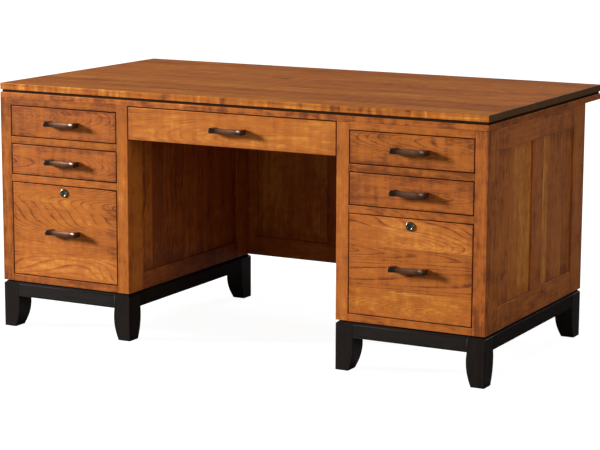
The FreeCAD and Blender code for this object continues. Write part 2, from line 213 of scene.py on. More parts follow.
class Value:
    """A socket of a finish. Arithmetic with numbers or other values adds one Math node for each step."""

    def __init__(self, finish, socket):
        self.finish = finish
        self.socket = socket

    def math(self, operation, *terms):
        """A Math node that works on these terms."""
        return self.finish.node("Math", {"operation": operation}, dict(enumerate(terms)))

    def __add__(self, other):
        return self.math("ADD", self, other)

    def __mul__(self, other):
        return self.math("MULTIPLY", self, other)

    def __sub__(self, other):
        return self.math("SUBTRACT", self, other)

    def __rsub__(self, other):
        return self.math("SUBTRACT", other, self)

    def __truediv__(self, other):
        return self.math("DIVIDE", self, other)

    def __pow__(self, other):
        return self.math("POWER", self, other)

    __radd__ = __add__
    __rmul__ = __mul__


class Finish:
    """A material that is made up of nodes on one Principled shader."""

    def __init__(self, name):
        self.material = bpy.data.materials.new(name)
        self.material.use_nodes = True
        self.tree = self.material.node_tree
        self.shader = self.tree.nodes["Principled BSDF"]

    def give(self, node, key, value):
        """Links a value to a socket, or sets a number or a colour on it."""
        if isinstance(value, Value):
            self.tree.links.new(value.socket, node.inputs[key])
        else:
            node.inputs[key].default_value = value

    def node(self, kind, settings, sockets, output=0):
        """Adds a node of a kind: first its settings, then a number, a colour or a link for its sockets."""
        made = self.tree.nodes.new("ShaderNode" + kind)
        for key, setting in settings.items():
            setattr(made, key, setting)
        for key, value in sockets.items():
            self.give(made, key, value)
        return Value(self, made.outputs[output])

    def read(self, attribute, output="Vector"):
        """What an attribute of the mesh holds."""
        return self.node("Attribute", {"attribute_name": attribute}, {}, output)

    def split(self, vector):
        """The three parts of a vector."""
        first = self.node("SeparateXYZ", {}, {0: vector})
        return [Value(self, socket) for socket in first.socket.node.outputs]

    def joined(self, x, y, z):
        """A vector of three parts."""
        return self.node("CombineXYZ", {}, {0: x, 1: y, 2: z})

    def scaled(self, vector, factors, shift=(0, 0, 0)):
        """The vector times the factors, plus the shift."""
        grown = {0: vector, 1: factors, 2: shift}
        return self.node("VectorMath", {"operation": "MULTIPLY_ADD"}, grown)

    def noise(self, vector, detail=2.0, roughness=0.5):
        """Noise about 0, at a scale of one unit of the vector."""
        sockets = {"Vector": vector, "Scale": 1.0, "Detail": detail, "Roughness": roughness}
        return self.node("TexNoise", {}, sockets) - 0.5

    def between(self, value, low, high):
        """0 below low, 1 above high, and a smooth rise between them."""
        sockets = {"Value": value, "From Min": low, "From Max": high}
        return self.node("MapRange", {"interpolation_type": "SMOOTHSTEP"}, sockets)

    def blend(self, factor, first, second):
        """A colour between two others."""
        return self.node("Mix", {"data_type": "RGBA"}, {0: factor, 6: first, 7: second}, 2)

    def relief(self, height, depth):
        """A normal bent by a height, of which 1 stands for the depth."""
        return self.node("Bump", {}, {"Height": height, "Distance": depth, "Strength": 1.0})

    def done(self, **sockets):
        """Sets the shader's own sockets and hands over the material."""
        for key, value in sockets.items():
            self.give(self.shader, key.replace("_", " "), value)
        return self.material


# Where a growth ring is dark, as shares of its width. How deep the pith lies under a board, and how far it
# sways. How far the darkening and the curl reach in from ends and sides, and how deep the grain is felt.
late_start = 0.62
late_stop = 0.94
pith_depth = 0.012
pith_depth_range = 0.05
pith_sway_across = 0.04
pith_sway_deep = 0.05
ring_ripple = 0.0018
end_darkening_reach = 0.05
side_darkening_reach = 0.014
side_curl_reach = 0.004
grain_relief = 0.00012
strip_hue = (1.0, 0.95, 1.2, 1.0)


def wood(name, deep, middle, pale, rings=0.32, mottle=0.9, fibres=0.7, streaks=0.5, curl=0.35, side_curl=0.0,
         ends=0.5, hems=0.17, board_range=0.3, ring_width=0.0038, pith_range=0.16, lean_range=0.16,
         glue_width=None, end_colour=None, roughness=0.4, sheen=0.085):
    """A planed, stained and sealed wood.

    Growth rings are circles about a pith that lies under the board, leans along it and sways, so that its
    faces show arches and its edges lines. Slow noise gives the blotches of the stain, noise that is short
    along the fibres the curl, which may be stronger on the board's sides, and noise that is long along
    them the fibres and pores. Where boards are glued side by side, each strip across has its own pith,
    tone and hue. The colour darkens a little along the sides and near the ends of each board, and the
    rounded edges are painted a little paler, a painted highlight. Odd factors turn the number of a board
    or a strip into places that lie far apart in the noise.
    """
    f = Finish(name)
    grain = f.read("grain")
    number, end, edge = f.split(f.read("make", "Color"))
    tone = f.read("make", "Alpha")
    along, across, through = f.split(grain)
    room = f.split(f.node("VectorMath", {"operation": "ABSOLUTE"}, {0: grain}))
    room = [size - inside for size, inside in zip(f.split(f.read("half")), room)]
    strip = 0.0
    if glue_width:
        place = across / glue_width + number * 17.0
        place = place + 0.2 * place.math("SINE", place * 4.3)
        strip = place.math("FLOOR", place)
        across = (place - strip - 0.5) * glue_width
    seed = f.joined(strip, number * 91.0, 0.0)
    drawn = f.node("TexWhiteNoise", {"noise_dimensions": "2D"}, {"Vector": seed}, "Color")
    one, two, three = f.split(drawn)
    shift = f.joined(number * 113.0 + one * 31.0, two * 17.0, three * 23.0)

    def figure(waves_along, waves_across, detail, rough=0.5):
        """Noise with so many waves in a metre along the fibres and across them."""
        return f.noise(f.scaled(grain, (waves_along, waves_across, waves_across), shift), detail, rough)

    sway = figure(waves_along=1.7, waves_across=5.0, detail=2.0)
    ripple = figure(waves_along=14.0, waves_across=70.0, detail=3.0, rough=0.6)
    from_pith = across + (one - 0.5) * pith_range + sway * pith_sway_across
    lean = along * (three - 0.5) * lean_range
    under_pith = through + pith_depth + two * pith_depth_range + lean
    under_pith = under_pith + sway * pith_sway_deep + ripple * ring_ripple
    radius = (from_pith * from_pith + under_pith * under_pith) ** 0.5
    ring = radius.math("FRACT", radius / ring_width)
    late = f.between(ring, late_start, late_stop) * (1 - f.between(ring, late_stop, 1.0))
    patchy = f.between(figure(waves_along=7.0, waves_across=30.0, detail=2.0), -0.12, 0.2)
    late = late * (0.35 + 0.65 * patchy)

    cloud = figure(waves_along=5.0, waves_across=13.0, detail=3.0, rough=0.55)
    blotch = figure(waves_along=26.0, waves_across=70.0, detail=4.0, rough=0.65)
    # The colour darkens a little near the ends and sides of each board.
    near_end = 1 - f.between(room[0] + cloud * 0.05 + blotch * 0.03, 0.0, end_darkening_reach)
    near_side = 1 - f.between(room[1] + blotch * 0.02, 0.0, side_darkening_reach)
    banding = figure(waves_along=45.0, waves_across=7.0, detail=3.0, rough=0.55)
    if side_curl:
        curl = curl + side_curl * (1 - f.between(room[1], 0.0, side_curl_reach))
    fibre = figure(waves_along=9.0, waves_across=520.0, detail=4.0, rough=0.7)
    streak = figure(waves_along=2.5, waves_across=75.0, detail=3.0, rough=0.6)
    pore = f.between(figure(waves_along=70.0, waves_across=1500.0, detail=1.0), 0.08, 0.2)
    fleck = f.between(figure(waves_along=34.0, waves_across=210.0, detail=2.0, rough=0.6), 0.13, 0.24)

    shade = tone + (one - 0.5) * board_range + (cloud + blotch) * mottle + banding * curl
    shade = shade + fibre * fibres + streak * streaks - late * rings - (fleck + pore) * 0.16
    # edge * 0.1 paints a highlight on the rounded edges: they are made paler.
    shade = shade - end * ends + edge * 0.1 - near_end.math("MAXIMUM", near_end, near_side) * hems
    lower = f.blend(f.between(shade, -0.1, 0.5), (*deep, 1), (*middle, 1))
    colour = f.blend(f.between(shade, 0.5, 1.1), lower, (*pale, 1))
    hue = {0: three, 6: colour, 7: strip_hue}
    colour = f.node("Mix", {"data_type": "RGBA", "blend_type": "MULTIPLY"}, hue, 2)
    if end_colour:
        colour = f.blend(end * (0.75 + blotch * 0.6 + fibre * 0.6), colour, (*end_colour, 1))
    gloss = roughness + fibre * 0.14 + pore * 0.1 + end * 0.2 - blotch * 0.08
    height = fibre * 0.5 - pore - late * 0.3
    normal = f.relief(height, grain_relief)
    return f.done(Base_Color=colour, Roughness=gloss, Specular_IOR_Level=sheen, Normal=normal)


def leg(corner, into, height):
    """A leg at an outer corner of the base: rectangles with eased corners carried up from the floor.

    The outer faces stand straight and lean in at the bevel. The inner faces follow a parabola from the
    foot's size to the leg's, with the bow at half height.
    """
    bowed = np.linspace(0, 1, LEG_STEPS)
    step = np.append(bowed, [1, 1])[:, None]
    inner = foot_size + (leg_size - foot_size) * step + 4 * leg_bow * step * (1 - step)
    z = np.append(bowed * (height - base_rail_height), [height - base_bevel_drop, height])
    outer = np.append(np.zeros(len(z) - 1), base_bevel_inset)[:, None]
    half = (inner - outer) / 2
    out = rounded_ring(half[:, 0], half[:, 1], base_ease) + ((inner + outer) / 2)[:, None]
    flat = np.asarray(corner) + np.asarray(into) * out
    rows = np.concatenate([flat, np.broadcast_to(z[:, None, None], flat.shape[:2] + (1,))], 2)
    return board(rows, 2, np.zeros(len(z) - 1), arc_columns(4))


def base_rail(run, span, outside, into, low, high):
    """A rail between two legs: a five-sided section with one bevelled corner, carried along its run."""
    inside = outside + into * base_rail_thickness
    outline = [
        (outside, low), (inside, low), (inside, high),
        (outside + into * base_bevel_inset, high), (outside, high - base_bevel_drop),
    ]
    rows = swept(outline[::into], [0, 0], span, base_ease)
    return board(turned_to(rows, [1 - run, 2, run]), run, [False], arc_columns(5))


black_stain = wood(
    "black_stain", deep=(0.007, 0.005, 0.003), middle=(0.015, 0.011, 0.008), pale=(0.035, 0.026, 0.018),
    rings=0.2, mottle=0.5, fibres=0.8, curl=0.1, ends=0.2, roughness=0.38,
)
for side in SIDES:
    low, high = corners_of(side + "_base_legs")
    legs, rails = [], []
    for x, into_x in ((low[0], 1), (high[0], -1)):
        for y, into_y in ((low[1], 1), (high[1], -1)):
            legs.append(leg((x, y), (into_x, into_y), high[2]))
    rail_low = high[2] - base_rail_height
    for run in (0, 1):
        span = (low[run] + leg_size[run], high[run] - leg_size[run])
        for outside, into in ((low[1 - run], 1), (high[1 - run], -1)):
            rails.append(base_rail(run, span, outside, into, rail_low, high[2]))
    fit(side + "_leg_set", legs, black_stain, CASE, side + "_base_legs")
    fit(side + "_base_rail_set", rails, black_stain, CASE, side + "_base_rails")

# Carcass boards. Inside each pedestal a bottom board, two stretchers under the top and six spacer strips
# that bring the slides in line with the face frame. They are plain maple, sealed but not stained.

bottom_thickness = 0.018
stretcher_width = 0.080
spacer_thickness = 0.020
spacer_height = 0.052
PEDESTAL_DRAWERS = ("top", "second", "file")
pale_maple = wood(
    "pale_maple", deep=(0.45, 0.29, 0.15), middle=(0.62, 0.44, 0.25), pale=(0.74, 0.57, 0.36),
    rings=0.28, mottle=0.5, fibres=0.4, curl=0.3, ends=0.35, glue_width=0.09, roughness=0.45,
)
for side in SIDES:
    low, high = corners_of(side + "_carcass_boards")
    boards = [plank(low, (high[0], high[1], low[2] + bottom_thickness), 1)]
    stretcher_low = high[2] - bottom_thickness
    boards.append(plank((low[0], low[1], stretcher_low), (high[0], low[1] + stretcher_width, high[2]), 0))
    boards.append(plank((low[0], high[1] - stretcher_width, stretcher_low), high, 0))
    for drawer in PEDESTAL_DRAWERS:
        box_low, box_high = corners_of(f"{side}_{drawer}_drawer_slides")
        middle = (box_low[2] + box_high[2]) / 2
        z = (middle - spacer_height / 2, middle + spacer_height / 2)
        boards.append(plank((low[0], low[1], z[0]), (low[0] + spacer_thickness, high[1], z[1]), 1))
        boards.append(plank((high[0] - spacer_thickness, low[1], z[0]), (high[0], high[1], z[1]), 1))
    fit(side + "_inner_boards", boards, pale_maple, CASE, side + "_carcass_boards")

# Pedestal sides and backs. Each is a cherry frame, with stiles and rails tenoned together round panels
# that float in grooves: flat glued-up panels in the sides, raised and bevelled ones in the back.

side_thickness = 0.020
back_thickness = 0.020
front_stile_width = 0.065
middle_stile_width = 0.083
rear_stile_width = 0.075
back_stile_width = 0.060
top_rail_height = 0.064
outer_bottom_rail_height = 0.072
knee_bottom_rail_height = 0.055
panel_thickness = 0.010
panel_recess = 0.006
panel_reach = 0.0077
tongue_half = 0.003
field_half = 0.008
bevel_width = 0.024
field_step = 0.0009
# Knee-hole tones: frames and panels darker than plain as painted shade, rear stiles paler as painted light.
knee_frame_painted_shade = 0.31
knee_rear_stile_painted_light = 0.68
knee_panel_painted_shade = 0.29
CHERRY = {"deep": (0.16, 0.040, 0.010), "middle": (0.43, 0.126, 0.018), "pale": (0.69, 0.285, 0.043)}
cherry = wood("cherry", **CHERRY, curl=0.5, hems=0.1)
cherry_panel = wood("cherry_panel", **CHERRY, glue_width=0.105, board_range=0.65, streaks=0.65)


def frame_boards(run, low, high, stiles, rails, tone=PLAIN_TONE, last_tone=PLAIN_TONE):
    """Planks of a frame on edge, and the corners of its openings.

    The outer stiles stand full height, the rails lie between them, and other stiles between the rails.
    The last stile has a tone of its own.
    """
    def corner(end, along, z):
        """A corner of the frame, moved to a place along its run and to a height."""
        made = np.array(end, float)
        made[run] = along
        made[2] = z
        return made

    lower, upper = low[2] + rails[0], high[2] - rails[1]
    first, last = stiles[0], stiles[-1]
    boards = [
        plank(corner(low, start, low[2]), corner(high, stop, high[2]), 2, stile_tone)
        for (start, stop), stile_tone in ((first, tone), (last, last_tone))
    ]
    boards.append(plank(corner(low, first[1], low[2]), corner(high, last[0], lower), run, tone))
    boards.append(plank(corner(low, first[1], upper), corner(high, last[0], high[2]), run, tone))
    for start, stop in stiles[1:-1]:
        boards.append(plank(corner(low, start, lower), corner(high, stop, upper), 2, tone))
    openings = [
        (corner(low, left[1], lower), corner(high, right[0], upper))
        for left, right in zip(stiles, stiles[1:])
    ]
    return boards, openings


def flat_panel(run, opening, outer_at_low, tone):
    """A flat panel behind an opening, with its edges in the frame's grooves."""
    low, high = (end.copy() for end in opening)
    deep = 1 - run
    for axis in (run, 2):
        low[axis] -= panel_reach
        high[axis] += panel_reach
    if outer_at_low:
        low[deep] += panel_recess
        high[deep] = low[deep] + panel_thickness
    else:
        high[deep] -= panel_recess
        low[deep] = high[deep] - panel_thickness
    return plank(low, high, 2, tone)


def raised_panel(run, opening):
    """A panel with a field raised on both faces: its outline drawn in along a stepped profile.

    From the field of one face the profile runs down a small step and the bevel to the tongue, round the
    tongue's edge and up to the field of the other face.
    """
    low, high = opening
    middle = (low[1 - run] + high[1 - run]) / 2
    left, right = low[run] - panel_reach, high[run] + panel_reach
    bottom, top = low[2] - panel_reach, high[2] + panel_reach
    outline = [(left, bottom), (right, bottom), (right, top), (left, top)]
    field = panel_reach + bevel_width
    insets = np.array([field, field - field_step / 3, panel_reach, 0])
    depths = np.array([field_half, field_half - field_step, tongue_half, tongue_half])
    insets = np.append(insets, insets[::-1])
    depths = np.append(middle - depths, middle + depths[::-1])
    rows = swept(outline, insets, depths, field_step)
    return board(turned_to(rows, [run, 2, 1 - run]), 2, np.zeros(len(rows) - 1), arc_columns(4))


for side in SIDES:
    low, high = corners_of(side + "_pedestal_frames")
    inside_back = high[1] - back_thickness
    front_stile = (low[1], low[1] + front_stile_width)
    rear_stile = (inside_back - rear_stile_width, inside_back)
    centre = (front_stile[1] + rear_stile[0]) / 2
    middle_stile = (centre - middle_stile_width / 2, centre + middle_stile_width / 2)
    boards, panels = [], []
    for at_low in (True, False):
        is_outer = at_low == (side == "left")
        wall_low, wall_high = low.copy(), high.copy()
        wall_high[1] = inside_back
        if at_low:
            wall_high[0] = low[0] + side_thickness
        else:
            wall_low[0] = high[0] - side_thickness
        stiles = (front_stile, middle_stile, rear_stile) if is_outer else (front_stile, rear_stile)
        rails = (outer_bottom_rail_height if is_outer else knee_bottom_rail_height, top_rail_height)
        # In the knee-hole, darker tones paint shade on frames and panels, and a paler one paints light on
        # the rear stile.
        tones = (PLAIN_TONE, PLAIN_TONE) if is_outer else (knee_frame_painted_shade, knee_rear_stile_painted_light)
        made, openings = frame_boards(1, wall_low, wall_high, stiles, rails, *tones)
        boards += made
        panel_tone = PLAIN_TONE if is_outer else knee_panel_painted_shade
        panels += [flat_panel(1, opening, at_low, panel_tone) for opening in openings]
    back_low = np.array((low[0], inside_back, low[2]))
    stiles = ((low[0], low[0] + back_stile_width), (high[0] - back_stile_width, high[0]))
    made, openings = frame_boards(0, back_low, high, stiles, (outer_bottom_rail_height, top_rail_height))
    boards += made
    panels += [raised_panel(0, opening) for opening in openings]
    fit(side + "_case_frames", boards, cherry, CASE, side + "_pedestal_frames")
    fit(side + "_case_panels", panels, cherry_panel, CASE, side + "_pedestal_panels")

# Face frames. Two cherry stiles and four narrow rails, glued flush to the front of each pedestal. The
# drawer fronts sit inside the openings, with an even gap all round.

face_stile_width = 0.040
drawer_reveal = 0.003
rail_tone = 0.38
STILE_TONES = {"left": (0.34, 0.38), "right": (0.50, 0.42)}
for side in SIDES:
    low, high = corners_of(side + "_face_frame")
    inner_low, inner_high = low[0] + face_stile_width, high[0] - face_stile_width
    boards = [
        plank(low, (inner_low, high[1], high[2]), 2, STILE_TONES[side][0]),
        plank((inner_high, low[1], low[2]), high, 2, STILE_TONES[side][1]),
    ]
    rail_top = high[2]
    for drawer in PEDESTAL_DRAWERS:
        front_low, front_high = corners_of(f"{side}_{drawer}_drawer_front")
        rail_low = front_high[2] + drawer_reveal
        boards.append(plank((inner_low, low[1], rail_low), (inner_high, high[1], rail_top), 0, rail_tone))
        rail_top = front_low[2] - drawer_reveal
    boards.append(plank((inner_low, low[1], low[2]), (inner_high, high[1], rail_top), 0, rail_tone))
    fit(side + "_front_frame", boards, cherry, CASE, side + "_face_frame")

# Modesty panel. The screen at the back of the knee-hole is a cherry frame with a wide middle stile and
# two raised panels. It is screwed between the pedestals, in line with their backs.

modesty_end_stile_width = 0.035
modesty_middle_stile_width = 0.116
modesty_bottom_rail_height = 0.064
# The modesty frame is a little paler than plain: a painted light at the back of the knee-hole.
modesty_frame_painted_light = 0.52
low, high = corners_of("modesty_frame")
half_middle = modesty_middle_stile_width / 2
stiles = (
    (low[0], low[0] + modesty_end_stile_width),
    (-half_middle, half_middle),
    (high[0] - modesty_end_stile_width, high[0]),
)
rails = (modesty_bottom_rail_height, top_rail_height)
boards, openings = frame_boards(0, low, high, stiles, rails, modesty_frame_painted_light, modesty_frame_painted_light)
fit("modesty_screen_frame", boards, cherry, CASE, "modesty_frame")
panels = [raised_panel(0, opening) for opening in openings]
fit("modesty_screen_panels", panels, cherry_panel, CASE, "modesty_panels")

# Top. A lower layer sits on the pedestals, a recessed spacer makes the groove, and the slab above is glued
# up from wide cherry boards that run the length of the desk. The spacer is painted near-black, a painted
# shade for the shadow inside the groove.

top_ease = 0.0016
slab_board_width = 0.13
# The slab's tone is a little above plain: a painted light that brightens the top.
slab_painted_light_tone = 0.54
lower_layer_tone = 0.44
top_end_colour = (0.072, 0.046, 0.017)
cherry_top = wood(
    "cherry_top", **CHERRY, glue_width=slab_board_width, mottle=0.55, streaks=1.4, curl=0.35,
    side_curl=1.75, hems=0.1, roughness=0.36, end_colour=top_end_colour,
)
cherry_rim = wood("cherry_rim", **CHERRY, curl=0.5, side_curl=0.9, ends=0.1, hems=0.1)
# The groove's spacer is near-black: painted shade for the shadow that fills the recess.
groove_painted_shade = wood(
    "groove_painted_shade", deep=(0.018, 0.007, 0.002), middle=(0.032, 0.012, 0.004), pale=(0.055, 0.021, 0.007),
    rings=0.2, ends=0.2, roughness=0.6, sheen=0.03,
)
lower_board = plank(*corners_of("top_lower_layer"), 0, lower_layer_tone, top_ease)
fit("top_lower_board", [lower_board], cherry_rim, CASE, "top_lower_layer")
spacer = plank(*corners_of("top_groove_spacer"), 0)
fit("top_dark_spacer", [spacer], groove_painted_shade, CASE, "top_groove_spacer")
slab = plank(*corners_of("top_slab"), 0, slab_painted_light_tone, top_ease)
fit("top_slab_board", [slab], cherry_top, CASE, "top_slab")

# Slides and screws. Every drawer runs on a pair of three-part steel slides, rolled from strip and zinc
# plated, and plated screws go up through the stretchers into the top.

zinc_dark = (0.36, 0.37, 0.38, 1)
zinc_pale = (0.62, 0.63, 0.63, 1)
scratch_relief = 0.00003


def zinc_plate():
    """Zinc plating: cloudy patches of grey, with fine scratches drawn along the strip."""
    f = Finish("zinc_plate")
    place = f.node("TexCoord", {}, {}, "Object")
    cloud = f.noise(f.scaled(place, (60.0, 60.0, 60.0)), detail=4.0, roughness=0.6)
    scratch = f.noise(f.scaled(place, (2500.0, 8.0, 2500.0)), detail=2.0, roughness=0.7)
    colour = f.blend(f.between(cloud + scratch * 0.4, -0.3, 0.3), zinc_dark, zinc_pale)
    gloss = 0.3 + cloud * 0.2 + scratch * 0.15
    normal = f.relief(scratch, scratch_relief)
    return f.done(Base_Color=colour, Metallic=1.0, Roughness=gloss, Normal=normal)


DRAWERS = ["pencil"] + [f"{side}_{drawer}" for side in SIDES for drawer in PEDESTAL_DRAWERS]
zinc = zinc_plate()
plated = ["cabinet_slides", "top_screws"]
plated += [drawer + members for drawer in DRAWERS for members in ("_drawer_slides", "_middle_slides")]
for node in plated:
    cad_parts[node].data.materials.clear()
    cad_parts[node].data.materials.append(zinc)

# Drawer boxes. Maple sides, inner front and back, joined by dovetails at the four corners, with a thin
# bottom let into a groove. The drawer front is screwed on from the inside.

box_wall = 0.013
box_bottom_thickness = 0.006
box_bottom_lift = 0.012
box_groove_depth = 0.0057
LEAST_PINS = 2
pin_pitch = 0.030
pin_half_outside = 0.0035
pin_half_inside = 0.0058
sawn_ease = 0.0001


def prism(outline, start, stop, axes, grain):
    """A board with any flat outline, carried square from start to stop along the last of the axes."""
    flat = np.array([outline, outline], float)
    up = np.broadcast_to(np.array([start, stop], float)[:, None, None], flat.shape[:2] + (1,))
    rows = turned_to(np.concatenate([flat, up], 2), axes)
    return board(rows, grain, [False], np.zeros(len(outline), bool), ease=sawn_ease)


def drawer_box(low, high):
    """Boards of a box: sides with sockets cut in their ends, boards between them with pins, and a bottom.

    A pin is a trapezium, narrow at the end of the side and wide where it joins its own board.
    """
    count = max(LEAST_PINS, round((high[2] - low[2]) / pin_pitch))
    pitch = (high[2] - low[2]) / count
    middles = low[2] + pitch * (np.arange(count) + 0.5)

    def pins(end, root):
        """Outlines of all pins in a corner, as depths and heights."""
        spread = np.array([-pin_half_outside, -pin_half_inside, pin_half_inside, pin_half_outside])
        y = np.broadcast_to([end, root, root, end], (count, 4))
        return np.stack([y, middles[:, None] + spread], 2)

    back_pins = pins(high[1], high[1] - box_wall)
    front_pins = pins(low[1], low[1] + box_wall)
    outline = np.concatenate([
        [(low[1], low[2]), (high[1], low[2])], back_pins.reshape(-1, 2),
        [(high[1], high[2]), (low[1], high[2])], front_pins.reshape(-1, 2)[::-1],
    ])
    boards = []
    for start, stop in ((low[0], low[0] + box_wall), (high[0] - box_wall, high[0])):
        boards.append(prism(outline, start, stop, [1, 2, 0], 1))
        boards += [prism(pin, start, stop, [1, 2, 0], 0) for pin in (*back_pins, *front_pins)]
    inside_low, inside_high = low[0] + box_wall, high[0] - box_wall
    for near, far in ((low[1], low[1] + box_wall), (high[1] - box_wall, high[1])):
        boards.append(plank((inside_low, near, low[2]), (inside_high, far, high[2]), 0))
    floor = low[2] + box_bottom_lift
    reach = box_wall - box_groove_depth
    bottom_low = (low[0] + reach, low[1] + reach, floor)
    boards.append(plank(bottom_low, (high[0] - reach, high[1] - reach, floor + box_bottom_thickness), 0))
    return boards


for drawer in DRAWERS:
    body = drawer + "_drawer"
    boards = drawer_box(*corners_of(body + "_box"))
    fit(drawer + "_dovetailed_box", boards, pale_maple, body, body + "_box")

# Drawer fronts. Solid cherry with the figure running level. The two file fronts are glued up from three
# boards and are bored for their locks.

BORE_RAYS = 48
front_ease = 0.0018
lock_drop = 0.021
lock_bore = 0.0093
bore_ray_turn = 0.001


def bored_front(low, high, centre_x, centre_z, tone):
    """A front with a round hole: rings about the hole, from its edge to the outline, round it and back.

    The outline holds the point where each ray from the hole meets the rectangle. The rays go to the corners
    and to even steps of angle, turned a little so that none lies on an axis. An eased ring is the outline
    shrunk about its middle, by as much on each side, so that its corners stay corners.
    """
    corner_x = np.array([high[0], low[0], low[0], high[0]]) - centre_x
    corner_z = np.array([high[2], high[2], low[2], low[2]]) - centre_z
    even = np.linspace(-math.pi, math.pi, BORE_RAYS, endpoint=False)
    angle = np.sort(np.append(even + bore_ray_turn, np.arctan2(corner_z, corner_x)))
    ray = np.stack([np.cos(angle), np.sin(angle)], 1)
    to_side = np.maximum((high[0] - centre_x) / ray[:, 0], (low[0] - centre_x) / ray[:, 0])
    to_top = np.maximum((high[2] - centre_z) / ray[:, 1], (low[2] - centre_z) / ray[:, 1])
    outline = np.minimum(to_side, to_top)[:, None] * ray
    middle = (outline.max(0) + outline.min(0)) / 2
    half = (outline.max(0) - outline.min(0)) / 2
    turn = np.linspace(0, math.pi / 2, CORNER_STEPS + 1)
    rise = front_ease * (1 - np.cos(turn))
    draw = front_ease * (1 - np.sin(turn))
    eased = [middle + (outline - middle) * (1 - inset / half) for inset in np.append(draw, rise)]
    flat = [lock_bore * ray, *eased, lock_bore * ray]
    deep = np.concatenate([[low[1]], low[1] + rise, high[1] - draw, [high[1]]])
    flat = np.array(flat) + (centre_x, centre_z)
    rows = np.concatenate([flat, np.broadcast_to(deep[:, None, None], flat.shape[:2] + (1,))], 2)
    round_rows = [False] + [True] * CORNER_STEPS + [False] + [True] * CORNER_STEPS + [False, True]
    columns = np.zeros(len(angle), bool)
    return board(turned_to(rows, [0, 2, 1]), 0, round_rows, columns, tone, front_ease, ring=True)


FRONT_TONES = {"pencil": 0.60, "top": 0.42, "second": 0.39, "file": 0.53}
cherry_front = wood(
    "cherry_front", **CHERRY, rings=0.46, mottle=0.8, curl=0.75, pith_range=0.1, lean_range=0.3,
)
cherry_file_front = wood(
    "cherry_file_front", **CHERRY, rings=0.64, curl=0.55, ring_width=0.0055, pith_range=0.07,
    lean_range=0.5, glue_width=0.11,
)
for drawer in DRAWERS:
    body = drawer + "_drawer"
    low, high = corners_of(body + "_front")
    tone = FRONT_TONES[drawer.split("_")[-1]]
    if "file" in drawer:
        finish = cherry_file_front
        front = bored_front(low, high, (low[0] + high[0]) / 2, high[2] - lock_drop, tone)
    else:
        finish = cherry_front
        front = plank(low, high, 0, tone, front_ease)
    fit(drawer + "_cherry_front", [front], finish, body, body + "_front")

# Pulls. Each is a strap of dark bronze between two square ends that stand proud of it, with a sloping flank
# on the way, all cast in one piece. The casting is darkened, then rubbed so that its edges shine through.

CROWN_STEPS = 13
STRAP_STEPS = 17
bronze_skin = (0.052, 0.033, 0.022, 1)
bronze_rubbed = (0.27, 0.128, 0.076, 1)
rubbed_half_length = 0.05
casting_relief = 0.00002
pull_end_width = 0.007
pull_flank_width = 0.010
pull_post_width = 0.014
pull_end_step = 0.0035
pull_thickness = 0.006
pull_dip = 0.0012
pull_crown = 0.0025
pull_ease = 0.0007


def dark_bronze_casting():
    """Dark bronze: a brown-black skin in soft clouds, with copper showing on edges and where hands rub."""
    f = Finish("dark_bronze")
    grain = f.read("grain")
    number, _, edge = f.split(f.read("make", "Color"))
    along = f.split(grain)[0]
    shift = f.joined(number * 40.0, number * 17.0, 0.0)
    cloud = f.noise(f.scaled(grain, (120.0, 180.0, 180.0), shift), detail=4.0, roughness=0.6)
    brushed = f.noise(f.scaled(grain, (40.0, 1600.0, 1600.0), shift), detail=2.0, roughness=0.6)
    rubbed = f.between(1 - along.math("ABSOLUTE", along) / rubbed_half_length, 0.0, 0.8)
    copper = f.between(0.2 * edge + 0.5 * rubbed + cloud * 0.4 + brushed * 0.2, 0.1, 0.9)
    colour = f.blend(copper, bronze_skin, bronze_rubbed)
    gloss = 0.32 + cloud * 0.12
    normal = f.relief(brushed + cloud, casting_relief)
    return f.done(Base_Color=colour, Metallic=0.9, Roughness=gloss, Normal=normal)


def pull_strap(centre, half_length, half_height, reach):
    """The strap and the faces of its ends: a section with a crowned front, carried along a line.

    Between the ends the line follows a parabola that dips, and beside them it climbs straight up the flanks.
    The first and last rows draw in along a quarter circle.
    """
    height = np.linspace(1, -1, CROWN_STEPS)
    crowned = np.stack([pull_crown * height ** 2 - reach, height * half_height], 1)
    back = pull_thickness - reach
    outline = np.append([(back, -half_height), (back, half_height)], crowned, 0)
    turn = np.linspace(0, math.pi / 2, CORNER_STEPS + 1)
    rise = pull_ease * (1 - np.cos(turn))
    draw = pull_ease * (1 - np.sin(turn))
    inner = half_length - pull_end_width
    strap_end = inner - pull_flank_width
    strap = np.linspace(-strap_end, strap_end, STRAP_STEPS)
    station = np.concatenate([rise - half_length, [-inner], strap, [inner], half_length - draw])
    inset = np.concatenate([draw, np.zeros(len(strap) + 2), rise])
    rows = turned_to(swept(outline, inset, station, pull_ease), [1, 2, 0])
    flank = np.clip((inner - np.abs(station)) / pull_flank_width, 0, 1)
    dip = np.clip(1 - (station / strap_end) ** 2, 0, 1)
    rows[..., 1] += (pull_end_step * flank + pull_dip * dip)[:, None]
    strap_rows = [False, False] + [True] * (len(strap) - 1) + [False, False]
    round_rows = [True] * CORNER_STEPS + strap_rows + [True] * CORNER_STEPS
    return board(rows + centre, 0, round_rows, np.ones(rows.shape[1], bool))


dark_bronze = dark_bronze_casting()
for drawer in DRAWERS:
    body = drawer + "_drawer"
    low, high = corners_of(body + "_pull")
    half_length, half_height = (high[0] - low[0]) / 2, (high[2] - low[2]) / 2
    face, reach = high[1], high[1] - low[1]
    centre = np.array(((low[0] + high[0]) / 2, face, (low[2] + high[2]) / 2))
    castings = [pull_strap(centre, half_length, half_height, reach)]
    for start in (low[0], high[0] - pull_post_width):
        post_low = (start, face - reach + pull_thickness, low[2])
        castings.append(plank(post_low, (start + pull_post_width, face, high[2]), 1, ease=pull_ease))
    fit(drawer + "_bronze_pull", castings, dark_bronze, body, body + "_pull")

# Locks. A nickel-plated housing, with a flat flange that is rounded at its rim, is pressed into each file
# front. Its plug has a slot for the key, and carries a flat steel cam behind the front that turns up to
# catch the rail above.

